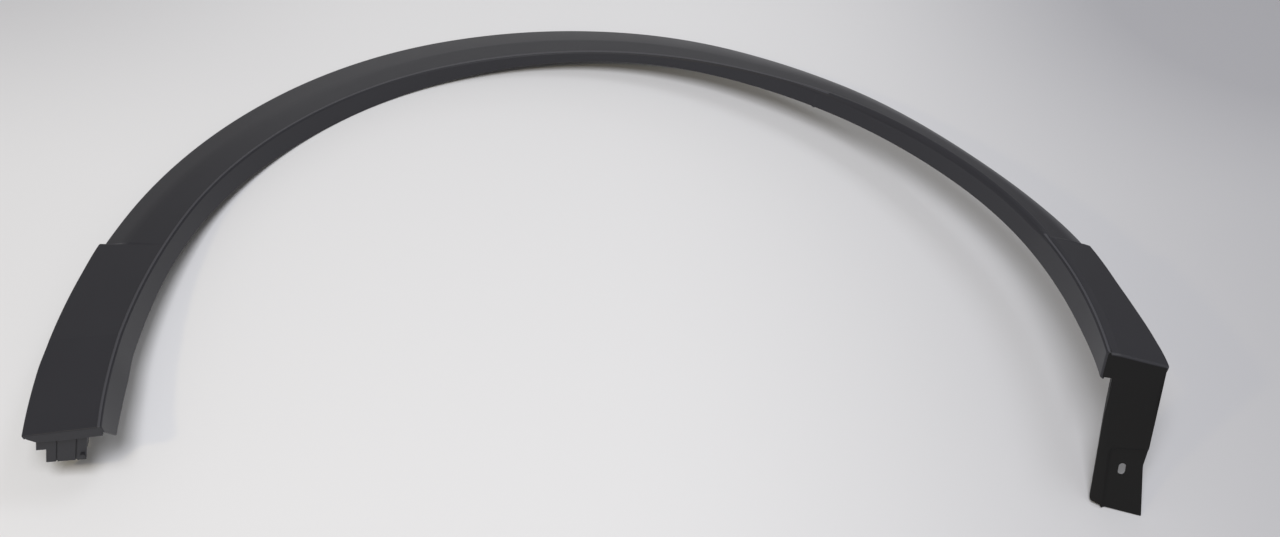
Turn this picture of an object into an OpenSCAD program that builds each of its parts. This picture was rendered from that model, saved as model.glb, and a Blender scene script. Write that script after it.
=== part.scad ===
// Wheel arch trim: one injection-moulded strip that frames a wheel opening. It is drawn in the arch's own
// frame (X across the opening, Y up the arch, Z out of the car) and then laid down the way it comes to rest
// on a flat surface, face up, on the tip of its mounting panel and on the edge of its return flange.

/* [Arch line: tangent arcs from the right end, over the crown, to the left end] */
// Where the crease starts at the right end, across from the middle of the wheel
arch_start_x = 407; // [360:1:460]
// Where the crease starts at the right end, up from the middle of the wheel
arch_start_y = -51; // [-90:1:-20]
// Radius of the right leg
right_leg_r = 400; // [340:5:520]
// Turn of the right leg in degrees
right_leg_turn = 36; // [30:0.5:40]
// Radius of the flat right shoulder
right_shoulder_r = 520; // [420:5:640]
// Turn of the right shoulder in degrees
right_shoulder_turn = 32; // [28:0.5:36]
// Radius over the crown
crown_r = 388; // [340:2:460]
// Turn of the crown in degrees
crown_turn = 41; // [36:0.5:46]
// Radius of the full left shoulder
left_shoulder_r = 325; // [300:2:380]
// Turn of the left shoulder in degrees
left_shoulder_turn = 58; // [54:0.5:62]
// Radius of the long left leg
left_leg_r = 546; // [440:2:700]
// Turn of the left leg in degrees
left_leg_turn = 26; // [22:0.5:28]

/* [Section] */
// Wall thickness of the moulding
wall_t = 2.6; // [2.2:0.1:3.2]
// How far the return flange leans in toward the wheel over its depth
flange_draft = 4; // [2:0.5:6]
// Depth of the return flange at the right end
flange_h_right = 26; // [20:1:32]
// Depth of the return flange on the right shoulder
flange_h_shoulder = 17.5; // [14:0.5:22]
// Depth of the return flange at the crown
flange_h_crown = 12; // [10:1:18]
// Depth of the return flange at the left shoulder
flange_h_left = 23.5; // [18:0.5:30]
// Depth of the return flange at the left end
flange_h_end = 25; // [18:1:30]
// Width of the face at the right end
face_w_right = 45; // [38:1:50]
// Width of the face at the right step
face_w_step = 35; // [32:0.5:40]
// Width of the face at its waist on the right shoulder
face_w_waist = 30.2; // [28:0.2:34]
// Width of the face at the crown
face_w_crown = 48.5; // [42:0.5:56]
// Width of the face on the left shoulder
face_w_left = 60; // [54:1:68]
// Where the raised bead starts, out from the crease
bead_from = 1.2; // [0.9:0.1:1.6]
// How much wider the face is below the cross crease of the left leg
face_w_flare = 2.2; // [0:0.1:3]
// Width of the raised bead on the crease
bead_w = 1.4; // [1:0.1:2]
// Height of the bead over the face
bead_h = 0.45; // [0.2:0.05:0.8]
// Depth of the fine groove between bead and flange
groove_h = 1.7; // [0.8:0.1:2]
// Height of the rim that turns down along the outer edge
rim_h = 3; // [2:0.5:5]

/* [Chamfer between the two steps] */
// Place of the right step along the crease from the right end
right_step_at = 143; // [120:1:170]
// Place of the left step along the crease from the right end
left_step_at = 1186; // [1150:1:1220]
// Length of the ramp of each step
step_run = 3; // [2:0.5:6]
// Fall of the outer edge under the crease on the right leg
fall_right_leg = 8; // [4:0.5:10]
// Fall of the outer edge on the right shoulder
fall_right = 15; // [12:0.5:18]
// Fall of the outer edge at the crown
fall_crown = 10.5; // [8:0.5:14]
// Fall of the outer edge on the left shoulder
fall_left = 8; // [6:0.5:12]
// Fall of the outer edge on the left leg
fall_left_leg = 4; // [2:0.5:5]
// Where the chamfer starts on the right shoulder, out from the crease
chamfer_from_right = 8; // [7:0.5:14]
// Where the chamfer starts at the crown
chamfer_from_crown = 24; // [18:1:30]
// Where the chamfer starts on the left shoulder
chamfer_from_left = 32; // [24:1:40]
// Fall of the face where the chamfer starts
chamfer_from_fall = 1.6; // [0.8:0.1:2.5]
// Extra fullness of the chamfer on the right shoulder
chamfer_full = 2.2; // [0:0.1:3]
// Place of the cross crease on the left leg
cross_crease_at = 1297; // [1260:1:1330]
// How much lower the left end of the face lies than the cross crease
end_fall = 4; // [0:0.5:5]

/* [Left end] */
// Height of the short wall that closes the left end
end_wall_h = 10; // [7:0.5:12]
// How far the tongue sits behind the end wall
tongue_setback = 4.2; // [3.5:0.1:8]
// Inner side of the tongue at the level of the face, out from the crease
tongue_from = 11; // [9:0.5:14]
// Outer side of the tongue at the level of the face
tongue_to = 43; // [40:0.5:45]
// Outer side of the short tab beside the tongue, at the level of the face
tab_to = 51; // [49:0.5:52]
// Depth of the tab's lower edge under the face
tab_h = 26; // [22:0.5:28]
// Depth of the tongue's lower edge under the face
tongue_h = 41; // [34:0.5:42]
// How far tongue and tab lean outward, per millimetre of depth
tongue_lean = 0.33; // [0.2:0.01:0.4]
// Thickness of the tongue
tongue_t = 2.4; // [2:0.1:3]
// Place of the score line that runs down to the tongue's lower edge
score_at = 34.5; // [30:0.5:38]
// Place of the second score line, nearer to the wheel
second_score_at = 19; // [16:0.5:22]
// Width of the score lines
score_w = 1.2; // [0.8:0.1:1.6]
// Size of the corner cut off the return flange at the left end
flange_cut = 13; // [8:1:18]

/* [Right end and lower mounting panel] */
// Thickness of the end wall and the panel
panel_t = 2.8; // [2.4:0.1:3.4]
// Inner edge of the panel, out from the crease
panel_from = 4.8; // [4:0.2:9]
// Outer edge of the panel half way down
panel_to = 44.4; // [42:0.5:47]
// Outer edge of the panel at its flared foot
panel_foot_to = 46.8; // [43:0.2:50]
// Depth of the panel's lower edge at its inner corner
panel_h = 131; // [110:1:140]
// Extra depth of the lower edge at its outer corner
panel_foot_drop = 7.8; // [0:0.5:10]
// Lean of the panel where it leaves the face, in degrees
panel_lean_top = 8; // [4:0.5:12]
// Lean of the panel at its foot, in degrees
panel_lean_foot = 24; // [18:0.5:28]
// Depth of the side flange that turns back along the panel's inner edge
panel_side_d = 8; // [5:0.5:12]
// Depth under the face where the recess of the panel begins
recess_at = 86; // [78:1:92]
// Inner side of the recess, out from the crease
recess_from = 14; // [12:0.5:18]
// Step back of the recess
recess_d = 1.9; // [1.2:0.1:2.2]
// Width of the slot hole
slot_w = 5.8; // [5:0.1:8]
// Length of the slot hole
slot_l = 11.4; // [10:0.1:16]
// Place of the slot, out from the crease
slot_x = 26; // [24:0.5:32]
// Depth of the slot's middle under the face
slot_z = 102.8; // [98:0.2:112]

/* [Hidden side] */
// Number of clip seats spread along the arch
seat_count = 8; // [5:1:10]
// Outer length of a clip seat along the arch
seat_l = 22; // [20:1:26]
// Outer width of a clip seat across the face
seat_w = 16; // [15:1:18]
// Inner side of the clip seats, out from the crease
seat_from = 5; // [4.5:0.5:7]
// Radius of the round end of the keyhole in a seat's floor
seat_hole_r = 4.1; // [3.5:0.1:4.5]
// Width of the keyhole's open neck
seat_neck_w = 5; // [3:0.5:5.5]
// Thickness of a seat's walls and floor
seat_t = 2; // [1.6:0.1:2.4]
// Thickness of the cross ribs
rib_t = 1.8; // [1.4:0.1:2.2]

/* [How it lies] */
// Roll back of the laid arch: the legs' ends stand higher than the crown, in degrees
lie_back = 8.5; // [0:0.05:12]
// Side tip of the laid arch: the right leg stands higher than the left one, in degrees
lie_side = 4.35; // [0:0.05:9]

/* [Hidden] */
TRIM_COLOR = [0.20, 0.20, 0.22];
STEP_LEN = 17;          // target spacing of the sections along the crease
ARCS = [[right_leg_r, right_leg_turn], [right_shoulder_r, right_shoulder_turn], [crown_r, crown_turn],
        [left_shoulder_r, left_shoulder_turn], [left_leg_r, left_leg_turn]];
function arc_len(i) = ARCS[i][0] * ARCS[i][1] * PI / 180;
function len_to(i) = i == 0 ? 0 : len_to(i - 1) + arc_len(i - 1);
arch_len = len_to(len(ARCS));

// Point and heading of the crease, s millimetres along it from the right end
function arc_point(p, a, r, d) = let(b = a + d / r * 180 / PI)
    [p[0] + r * (sin(b) - sin(a)), p[1] - r * (cos(b) - cos(a)), b];
function walk(s, i, p) = let(last = i == len(ARCS) - 1, l = arc_len(i))
    s <= l || last ? arc_point(p, p[2], ARCS[i][0], s)
                   : walk(s - l, i + 1, arc_point(p, p[2], ARCS[i][0], l));
function crease(s) = walk(s, 0, [arch_start_x, arch_start_y, 90]);

// Smooth curve without overshoot through knots [place, value]
function rise(k, i) = (k[i + 1][1] - k[i][1]) / (k[i + 1][0] - k[i][0]);
function slope(k, i) = i == 0 || i == len(k) - 1 ? 0
    : let(a = rise(k, i - 1), b = rise(k, i)) a * b <= 0 ? 0 : 2 * a * b / (a + b);
function curve(k, s, i = 0) = s <= k[0][0] ? k[0][1]
    : i == len(k) - 1 ? k[i][1]
    : s > k[i + 1][0] ? curve(k, s, i + 1)
    : let(g = k[i + 1][0] - k[i][0], t = (s - k[i][0]) / g, u = t * t, v = u * t)
      (2 * v - 3 * u + 1) * k[i][1] + (v - 2 * u + t) * g * slope(k, i)
      + (3 * u - 2 * v) * k[i + 1][1] + (v - u) * g * slope(k, i + 1);

// Places along the crease
WAIST_AT = 250;
FULL_AT = 420;
CROWN_AT = 640;
SHOULDER_AT = 960;
KINK = 14;              // run over which the edges widen below the cross crease

// Share of the return flange that its cut corner takes away at the left end
function trimmed(s) = 0.76 * max(0, s - arch_len + flange_cut) / flange_cut;
function ramp(s, at) = min(1, max(0, (s - at) / step_run + 0.5));
function between(s) = min(ramp(s, right_step_at), 1 - ramp(s, left_step_at));
function flange_h(s) = curve([[0, flange_h_right], [WAIST_AT, flange_h_right - 4], [FULL_AT, flange_h_shoulder],
    [CROWN_AT, flange_h_crown], [SHOULDER_AT + 30, flange_h_left], [left_step_at, flange_h_left - 3],
    [cross_crease_at, flange_h_end]], s) * (1 - trimmed(s));
function face_w(s) = curve([[0, face_w_right], [30, face_w_right - 3.4], [70, face_w_step + 2],
    [100, face_w_step + 0.2], [right_step_at, face_w_step], [WAIST_AT - 30, face_w_waist + 0.7],
    [WAIST_AT, face_w_waist], [FULL_AT, 39], [CROWN_AT, face_w_crown], [SHOULDER_AT, face_w_left],
    [left_step_at - step_run, face_w_left + 0.6], [left_step_at + step_run, face_w_left + face_w_flare],
    [left_step_at + 40, face_w_left + 1], [cross_crease_at, face_w_left + 0.4],
    [cross_crease_at + KINK, face_w_left + 0.8 * face_w_flare], [arch_len, face_w_left + face_w_flare]], s);
// How far the return flange leans in over its depth: a little more on both legs
function flange_lean(s) = flange_draft + curve([[0, 0], [60, 1.2], [190, 0], [SHOULDER_AT, 0],
    [left_step_at + 40, 1], [cross_crease_at, 0.9], [cross_crease_at + KINK, face_w_flare],
    [arch_len - 40, 1.5], [arch_len, 0.2]], s);
function chamfer_from(s) = curve([[right_step_at, chamfer_from_right], [FULL_AT, chamfer_from_right + 4],
    [CROWN_AT, chamfer_from_crown], [SHOULDER_AT, chamfer_from_left],
    [left_step_at, chamfer_from_left + 3]], s);
function chamfer_fall(s) = curve([[right_step_at, fall_right], [FULL_AT, fall_right - 0.5],
    [CROWN_AT, fall_crown], [SHOULDER_AT, fall_left], [left_step_at, fall_left + 1]], s);
function leg_fall(s) = s < CROWN_AT ? fall_right_leg : fall_left_leg;
function edge_fall(s) = let(b = between(s)) leg_fall(s) * (1 - b) + chamfer_fall(s) * b;
function knee_fall(s) = let(b = between(s))
    leg_fall(s) * chamfer_from(s) / face_w(s) * (1 - b) + chamfer_from_fall * b;
function fullness(s) = chamfer_full * curve([[0, 0.4], [right_step_at, 1], [FULL_AT, 0.8],
    [CROWN_AT, 0.15], [SHOULDER_AT, 0]], s);
// Skew of the cross lines: ends, steps and cross crease are not square to the crease
function skew(s) = curve([[0, -10.4], [right_step_at, -27], [WAIST_AT + 60, 0], [SHOULDER_AT, 0],
    [left_step_at, -6], [cross_crease_at, 0], [arch_len, -8]], s);
// The face of the left leg bends down a little under the cross crease
function bend(s) = s <= cross_crease_at ? 0 : end_fall * (s - cross_crease_at) / (arch_len - cross_crease_at);

// A point u out from the crease and z above it, in the arch's frame. The cut at the right end leans as the
// panel does, so that the end wall lies parallel to it.
function at(s, u, z) = let(c = crease(s), k = u * tan(skew(s)) + (s == 0 ? z * tan(panel_lean_top) : 0))
    [c[0] + u * sin(c[2]) + k * cos(c[2]), c[1] - u * cos(c[2]) + k * sin(c[2]), z - bend(s)];

// Outline of the wall at place s, once around: down the outside, back up the inside
function section(s) = let(w = face_w(s), d = edge_fall(s), k = chamfer_from(s), kf = knee_fall(s),
        h = flange_h(s), f = fullness(s), b0 = bead_from, b1 = b0 + bead_w, ff = 0.15,
        lean = 0.3 + (flange_lean(s) - 0.3) * (1 - trimmed(s)))
    [[w - 0.4, -d - rim_h], [w, -d - 1.2], [w - 1, -d - 0.1 + (d - kf) / (w - k)],
     [k + (w - k) * 0.62, -kf - (d - kf) * 0.62 + f * 0.94], [k + (w - k) * 0.3, -kf - (d - kf) * 0.3 + f * 0.84],
     [k, -kf], [k - 2.2, -kf * (k - 2.2) / k], [b1 + 0.9, -ff - 0.1], [b1, bead_h], [b0, bead_h],
     [0.5, -groove_h], [-0.3, -groove_h + 0.4], [-0.9, -groove_h - 0.5],
     [-lean, -h], [-lean + wall_t, -h],
     [wall_t - 0.7, -groove_h - wall_t], [b1 + 1.6, -ff - wall_t],
     [k - 0.2, -kf - wall_t], [k + (w - k) * 0.5, -kf - (d - kf) * 0.5 + f - wall_t - 0.1],
     [w - wall_t, -d - wall_t + 0.1], [w - wall_t, -d - rim_h]];

// What fills the open channel from just under the skin down, used to trim ribs and clip seats
function filling(s) = let(w = face_w(s), d = edge_fall(s), k = chamfer_from(s), kf = knee_fall(s),
        h = flange_h(s), f = fullness(s))
    [[w - 1.3, -60], [w - 1.3, -d - 1.9], [k + (w - k) * 0.5, -kf - (d - kf) * 0.5 + f - 1.4],
     [k, -kf - 1.3], [4, -1.5], [1.2, -groove_h - 1.4], [1.2 - flange_lean(s), -h],
     [1.2 - flange_lean(s), -60]];

// Places of the sections: even runs, with close pairs at the steps and one at the cross crease
function run(a, b) = let(n = ceil((b - a) / STEP_LEN)) [for (i = [1:n]) a + (b - a) * i / n];
PLACES = concat([0], run(0, right_step_at - step_run / 2), [right_step_at + step_run / 2],
    run(right_step_at + step_run / 2, left_step_at - step_run / 2), [left_step_at + step_run / 2],
    run(left_step_at + step_run / 2, cross_crease_at), [cross_crease_at + KINK],
    run(cross_crease_at + KINK, arch_len - flange_cut), [arch_len]);

// Skins a row of closed outlines, each drawn across the path
module loft(rings) {
    m = len(rings[0]);
    n = len(rings);
    points = [for (r = rings) for (p = r) p];
    sides = [for (i = [0:n - 2]) for (j = [0:m - 1]) let(a = i * m + j, b = i * m + (j + 1) % m)
        each [[a, b, b + m], [a, b + m, a + m]]];
    polyhedron(points, concat(sides, [[for (j = [m - 1:-1:0]) j]], [[for (j = [0:m - 1]) (n - 1) * m + j]]));
}
module strip() loft([for (s = PLACES) [for (p = section(s)) at(s, p[0], p[1])]]);
module channel() loft([for (s = PLACES) [for (p = filling(s)) at(s, p[0], p[1])]]);

// Moves a child to place s: X out across the face, Y along the arch
module place(s) {
    c = crease(s);
    translate([c[0], c[1], -bend(s)]) rotate([0, 0, c[2] - 90 + skew(s)]) children();
}

// Side view of the curved panel: how far it has leaned out at a depth z
BENDS = 5;
PANEL_REACH = 150;
BEND_FROM = 26;
BEND_TO = 76;
function lean_at(z) = panel_lean_top + (panel_lean_foot - panel_lean_top)
    * min(1, max(0, (z - BEND_FROM) / (BEND_TO - BEND_FROM)));
PANEL_Z = concat([0, BEND_FROM], [for (i = [1:BENDS]) BEND_FROM + (BEND_TO - BEND_FROM) * i / BENDS],
    [PANEL_REACH]);
function panel_out(i) = i == 0 ? 0
    : panel_out(i - 1) + (PANEL_Z[i] - PANEL_Z[i - 1]) * tan(lean_at((PANEL_Z[i] + PANEL_Z[i - 1]) / 2));
function panel_out_at(z, i = 0) = z <= PANEL_Z[i + 1] || i == len(PANEL_Z) - 2
    ? panel_out(i) + (z - PANEL_Z[i]) * tan(lean_at((PANEL_Z[i] + PANEL_Z[i + 1]) / 2))
    : panel_out_at(z, i + 1);
// Plate between x0 and x1 whose front follows the panel, set back by b and d thick
module curved_plate(x0, x1, b, d) {
    front = [for (i = [0:len(PANEL_Z) - 1]) [-panel_out(i) + b, -PANEL_Z[i]]];
    back = [for (i = [len(PANEL_Z) - 1:-1:0]) [-panel_out(i) + b + d, -PANEL_Z[i]]];
    translate([x0, 0, 0]) rotate([90, 0, 90]) linear_extrude(x1 - x0) polygon(concat(front, back));
}
// Prism over an outline drawn on the panel as [out, depth]
module front_prism(outline) rotate([90, 0, 0]) translate([0, 0, -60]) linear_extrude(180)
    polygon([for (p = outline) [p[0], -p[1]]]);

END_TOP = 0.6;          // how far an end wall stays under the skin of the face
END_INSET = 0.3;        // how far an end wall lies inside the cut of the face
END_DEPTH = 24.4;       // how far the end wall reaches down beside the return flange
WIDEST_AT = 62;         // depth down to which the panel keeps its width
JOG_FROM = 84;          // the panel's outer edge steps in at this depth, beside the recess
JOG_TO = 98;            // from this depth the outer edge flares out again
JOG_IN = 0.7;
RECESS_IN = 1.9;        // how much narrower the recessed plate is than the panel

RECESS_SLANT = 3.5;     // how much higher the recess begins at its outer side
LIP = 1.6;              // overlap of the recessed plate behind the plate around it
WIDE = 60;              // beyond the panel's outer edge
DEEP = 170;             // beyond the panel's foot
SIDE_IN = 2.4;          // distance of the side flange from the panel's inner edge
GUSSET_IN = 7;          // distance of the gusset from the panel's outer edge
GUSSET_D = 16;
module right_end() place(0) {
    foot = panel_h + panel_foot_drop;
    intersection() {
        curved_plate(-flange_draft, panel_foot_to + 2, END_INSET, panel_t);
        difference() {
            front_prism([[0.6, END_TOP], [chamfer_from(0), knee_fall(0) + END_TOP],
                [face_w_right - 0.8, fall_right_leg + END_TOP], [panel_to, WIDEST_AT], [panel_to - JOG_IN, JOG_FROM],
                [panel_to - JOG_IN, JOG_TO], [panel_foot_to, foot], [panel_from, panel_h], [panel_from + 0.3, WIDEST_AT],
                [panel_from + 2, END_DEPTH], [-flange_draft + 0.6, END_DEPTH], [0.1, groove_h + END_TOP]]);
            front_prism([[recess_from, recess_at], [WIDE, recess_at - RECESS_SLANT], [WIDE, DEEP],
                [recess_from + 2 * LIP, DEEP]]);
        }
    }
    intersection() {
        curved_plate(recess_from - LIP, panel_foot_to + 2, recess_d + END_INSET, panel_t);
        front_prism([[recess_from - LIP, recess_at - LIP], [panel_to - JOG_IN - 0.1, recess_at - RECESS_SLANT - LIP],
            [panel_to - RECESS_IN, JOG_TO - 8], [panel_foot_to, foot], [recess_from + 0.6, panel_h + 3.6]]);
    }
    intersection() {
        curved_plate(panel_from + SIDE_IN, panel_from + SIDE_IN + wall_t, 2 * END_INSET, panel_side_d);
        front_prism([[0, END_DEPTH - LIP], [20, END_DEPTH - LIP], [20, panel_h - 0.3], [0, panel_h - 0.6]]);
    }
    // gusset that carries the panel behind the end wall
    intersection() {
        curved_plate(panel_to - GUSSET_IN, panel_to - GUSSET_IN + rib_t, END_INSET + 0.2, GUSSET_D);
        front_prism([[20, fall_right_leg - 1], [WIDE, fall_right_leg - 1], [WIDE, WIDEST_AT - 2],
            [20, WIDEST_AT - 2]]);
    }
}
module slot_hole() place(0) translate([slot_x, -panel_out_at(slot_z), -slot_z])
    rotate([-panel_lean_foot, 0, 0]) rotate([90, 0, 0]) translate([0, 0, -12]) {
        for (e = [-1, 1]) translate([0, e * (slot_l - slot_w) / 2, 0]) cylinder(h = 24, r = slot_w / 2, $fn = 48);
        translate([-slot_w / 2, -(slot_l - slot_w) / 2, 0]) cube([slot_w, slot_l - slot_w, 24]);
    }

// The channel is closed at the left end by a short wall; the tongue hangs behind it
module left_end() place(arch_len) {
    w = face_w(arch_len);
    knee = chamfer_from(arch_len);
    kneefall = knee_fall(arch_len);
    translate([0, -END_INSET, 0]) rotate([90, 0, 0]) linear_extrude(wall_t)
        polygon([[1, -2.4], [knee, -kneefall - 1], [w - 1.4, -fall_left_leg - 1.2],
            [w - 2.6, -fall_left_leg - end_wall_h + 5.6], [w - 8, -fall_left_leg - end_wall_h + 2],
            [knee, -kneefall - end_wall_h], [1, -end_wall_h - 0.4]]);
    tongue();
}
// Leaning strip from place a to b down to the depth foot; it starts inside the wall of the face if no
// depth is given for its top
function wall_middle(x) = wall_t / 2 + fall_left_leg * x / face_w_left;
function leaned(x, z) = [x + tongue_lean * z, -z];
module leaning(a, b, foot, top = 0) polygon([leaned(a, top > 0 ? top : wall_middle(a)),
    leaned(b, top > 0 ? top : wall_middle(b)), leaned(b, foot), leaned(a, foot)]);
// Upright plate over an outline, from a distance behind the end to that distance plus t
module upright(behind, t) translate([0, -behind, 0]) rotate([90, 0, 0]) linear_extrude(t) children();
SCORE_DEPTH = 1;
STAY_DEPTH = 9;         // how far the stays reach back from the tongue
CATCH = [1.2, 4.8];     // the catch nose stands between these distances from the tongue's inner side
module tongue() {
    back = tongue_setback + tongue_t;
    difference() {
        upright(tongue_setback, tongue_t) union() {
            leaning(tongue_from, tongue_to, tongue_h);
            leaning(tongue_to - 1, tab_to, tab_h);
        }
        upright(tongue_setback - 1, SCORE_DEPTH + 1) {
            leaning(score_at - score_w / 2, score_at + score_w / 2, tongue_h + 1, end_wall_h + 2);
            leaning(second_score_at - score_w / 2, second_score_at + score_w / 2, tongue_h - 4, end_wall_h + 2);
        }
    }
    // stays behind the tongue, and the bar that carries it on the end wall
    for (x = [tongue_from + 0.6, score_at + 2, tongue_to - 1 - rib_t])
        upright(back - 0.4, STAY_DEPTH) leaning(x, x + rib_t, tongue_h - 8);
    upright(wall_t - 0.4, tongue_setback - wall_t + 0.8)
        leaning(tongue_from + 1, tongue_to + 2, end_wall_h - 1.5);
    // catch nose on the tongue
    upright(tongue_setback - 2, 2.4) leaning(tongue_from + CATCH[0], tongue_from + CATCH[1], tongue_h - 3,
        tongue_h - 7.5);
}
// Clip seats: pockets open toward the outer edge, with a keyhole in the floor
FIRST_SEAT = 70;        // from the right end
LAST_SEAT = 62;         // from the left end
function seat_at(i) = FIRST_SEAT + (arch_len - FIRST_SEAT - LAST_SEAT) * i / (seat_count - 1);
function seat_floor(s) = 0.6 * flange_h(s) + 3;
module seat_body(s) {
    z = seat_floor(s);
    place(s) translate([seat_from, -seat_l / 2, -z]) cube([seat_w, seat_l, z]);
}
module seat_hollow(s) {
    z = seat_floor(s);
    top = 1.2 * wall_t + 1.4 + edge_fall(s) * 0.12;
    place(s) {
        if (z - seat_t > top) translate([seat_from + seat_t, -seat_l / 2 + seat_t, -z + seat_t])
            cube([seat_w, seat_l - 2 * seat_t, z - seat_t - top]);
        translate([seat_from + seat_w / 2, 0, -z - 1]) cylinder(h = seat_t + 2, r = seat_hole_r, $fn = 64);
        translate([seat_from + seat_w / 2, -seat_neck_w / 2, -z - 1]) cube([seat_w, seat_neck_w, seat_t + 2]);
    }
}
// Cross ribs between the return flange and the rim, half way between the seats
module rib(s) {
    w = face_w(s);
    h = flange_h(s);
    place(s) rotate([90, 0, 0]) translate([0, 0, -rib_t / 2]) linear_extrude(rib_t)
        polygon([[-flange_draft - 4, 2], [-flange_draft - 4, -h + 4], [4, -h + 5], [w, -edge_fall(s) - rim_h + 0.6],
            [w, 2]]);
}
module hidden_side() {
    difference() {
        intersection() {
            channel();
            union() for (i = [0:seat_count - 1]) seat_body(seat_at(i));
        }
        for (i = [0:seat_count - 1]) seat_hollow(seat_at(i));
    }
    intersection() {
        channel();
        union() {
            for (i = [0:seat_count - 2]) rib((seat_at(i) + seat_at(i + 1)) / 2);
            rib(arch_len - 24);
        }
    }
}

// How it lies: turned, then moved so that its lowest point is at zero and its box is centred
function turn_back(p) = [p[0], p[1] * cos(lie_back) + p[2] * sin(lie_back),
    -p[1] * sin(lie_back) + p[2] * cos(lie_back)];
function turn_side(p) = [p[0] * cos(lie_side) - p[2] * sin(lie_side), p[1],
    p[0] * sin(lie_side) + p[2] * cos(lie_side)];
function end_point(x, z, b) = let(a = crease(0)[2] - 90 + skew(0), y = b - panel_out_at(z))
    [arch_start_x + x * cos(a) - y * sin(a), arch_start_y + x * sin(a) + y * cos(a), -z];
OUTLINE = concat([for (s = PLACES) for (p = section(s)) at(s, p[0], p[1])],
    [end_point(panel_from, panel_h, END_INSET)], [for (b = [recess_d, recess_d + panel_t])
        end_point(panel_foot_to, panel_h + panel_foot_drop, b + END_INSET)]);
LAID = [for (p = OUTLINE) turn_side(turn_back(p))];
LOW = [for (k = [0:2]) min([for (p = LAID) p[k]])];
HIGH = [for (k = [0:2]) max([for (p = LAID) p[k]])];
module lay_down() translate([-(LOW[0] + HIGH[0]) / 2, -(LOW[1] + HIGH[1]) / 2, -LOW[2]])
    rotate([0, -lie_side, 0]) rotate([-lie_back, 0, 0]) children();

module arch_moulding() color(TRIM_COLOR) lay_down() {
    difference() {
        union() {
            strip();
            right_end();
            left_end();
            hidden_side();
        }
        slot_hole();
    }
}

arch_moulding();
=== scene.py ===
"""Wheel arch trim laid face up on a pale floor: the moulding, its plastic, the lamps and the camera."""

import math
from types import SimpleNamespace

import bpy
import numpy as np
from bpy.props import FloatProperty, FloatVectorProperty, IntProperty, PointerProperty
from mathutils import Matrix, Vector
from mathutils.geometry import delaunay_2d_cdt


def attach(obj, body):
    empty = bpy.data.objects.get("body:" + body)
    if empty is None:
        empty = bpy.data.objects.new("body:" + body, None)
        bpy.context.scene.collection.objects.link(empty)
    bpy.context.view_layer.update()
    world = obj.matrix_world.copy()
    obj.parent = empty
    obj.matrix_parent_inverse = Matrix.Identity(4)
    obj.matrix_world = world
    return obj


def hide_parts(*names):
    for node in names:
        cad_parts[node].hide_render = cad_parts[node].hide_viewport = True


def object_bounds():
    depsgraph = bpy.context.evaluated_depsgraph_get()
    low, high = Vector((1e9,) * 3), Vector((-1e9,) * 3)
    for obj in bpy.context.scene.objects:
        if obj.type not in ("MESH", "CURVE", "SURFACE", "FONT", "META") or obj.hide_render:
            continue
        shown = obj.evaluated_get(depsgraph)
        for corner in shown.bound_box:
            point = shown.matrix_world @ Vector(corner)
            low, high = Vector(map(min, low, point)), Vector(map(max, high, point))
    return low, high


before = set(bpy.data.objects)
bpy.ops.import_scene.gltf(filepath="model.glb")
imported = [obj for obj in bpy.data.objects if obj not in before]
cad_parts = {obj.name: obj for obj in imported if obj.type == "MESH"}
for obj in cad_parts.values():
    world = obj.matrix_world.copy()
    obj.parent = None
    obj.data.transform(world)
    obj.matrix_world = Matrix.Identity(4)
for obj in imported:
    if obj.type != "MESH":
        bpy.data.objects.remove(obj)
CAD_LOW, CAD_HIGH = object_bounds()
NODE = "arch_moulding"

bl_info = {
    "name": "Wheel arch trim",
    "version": (1, 0, 0),
    "blender": (4, 5, 0),
    "location": "View3D > Sidebar > Arch trim",
    "description": "Builds the visual model of a wheel arch trim and its studio",
    "category": "Object",
}


# Places along the crease, in millimetres from the right end
WAIST_AT = 250
FULL_AT = 420
NUB_AT = 430
CROWN_AT = 640
SHOULDER_AT = 960

# Runs along the crease, in millimetres: where the edges widen below the cross crease, where the right end's
# cut turns from the panel's lean to square, and where the strip's two ends are rounded over
KINK = 30
FIRST_RUN = 17
ROLL_RIGHT = 2.0
ROLL_LEFT = 1.0
# Rings that round an end over
ROLL_STEPS = 6

# Spacing of the rings, in millimetres: close over short runs, wide elsewhere
SHORT_RUN = 11
CLOSE = 0.6
WIDE = 4.0
NUB_REACH = 5
CREASE_REACH = 1.5

# The small nub on the flange's free edge, in millimetres
NUB_H = 1.4
NUB_RUN = 1.6

# Small steps of the section, in millimetres
LEAST_LEAN = 0.3
BEAD_FLANK = 0.7
GROOVE_FLANK = 0.45
GROOVE_LAND = 0.7
FLANGE_TOP = 1.3
FLANGE_TOP_DROP = 0.7
ROLLED_R = 6.5
ROLLED_IN = 0.8
KNEE_REACH = 1.6
RIM_IN = 0.4
EDGE_DROP = 1.2
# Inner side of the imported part's bead, which is one of the points that set its box
BEAD_FROM = 1.2

# How wide the rounding of the strip's ends fades at the outer edge and at the crease, in millimetres
ROLL_EDGE = 1.5
ROLL_CREASE = 2
ROLL_CREASE_AT = 1.0

# Roundings of the section's corners, in millimetres
FINE_R = 0.2
FLANK_R = 0.4
BEAD_R = 0.6
RIM_R = 0.7
FREE_EDGE_R = 0.8
INNER_R = 1.0
EDGE_R = 1.3
ROLLED_SOFT_R = 1.5

# Points of the section
CORNER_POINTS = 5
KNEE_STEPS = 7
BEAD_SIDE_STEPS = 8
FACE_STEPS = 26
INNER_STEPS = 10
# Points of a ring from the rim's lower edge over the face and bead to the flange's free edge
OUTER_POINTS = 2 * CORNER_POINTS + FACE_STEPS + 6 * CORNER_POINTS + CORNER_POINTS
# Points of a ring over the bead's top
CREST_FROM = 2 * CORNER_POINTS + FACE_STEPS + CORNER_POINTS + 1
CREST_TO = CREST_FROM + 2 * CORNER_POINTS - 3

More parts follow.
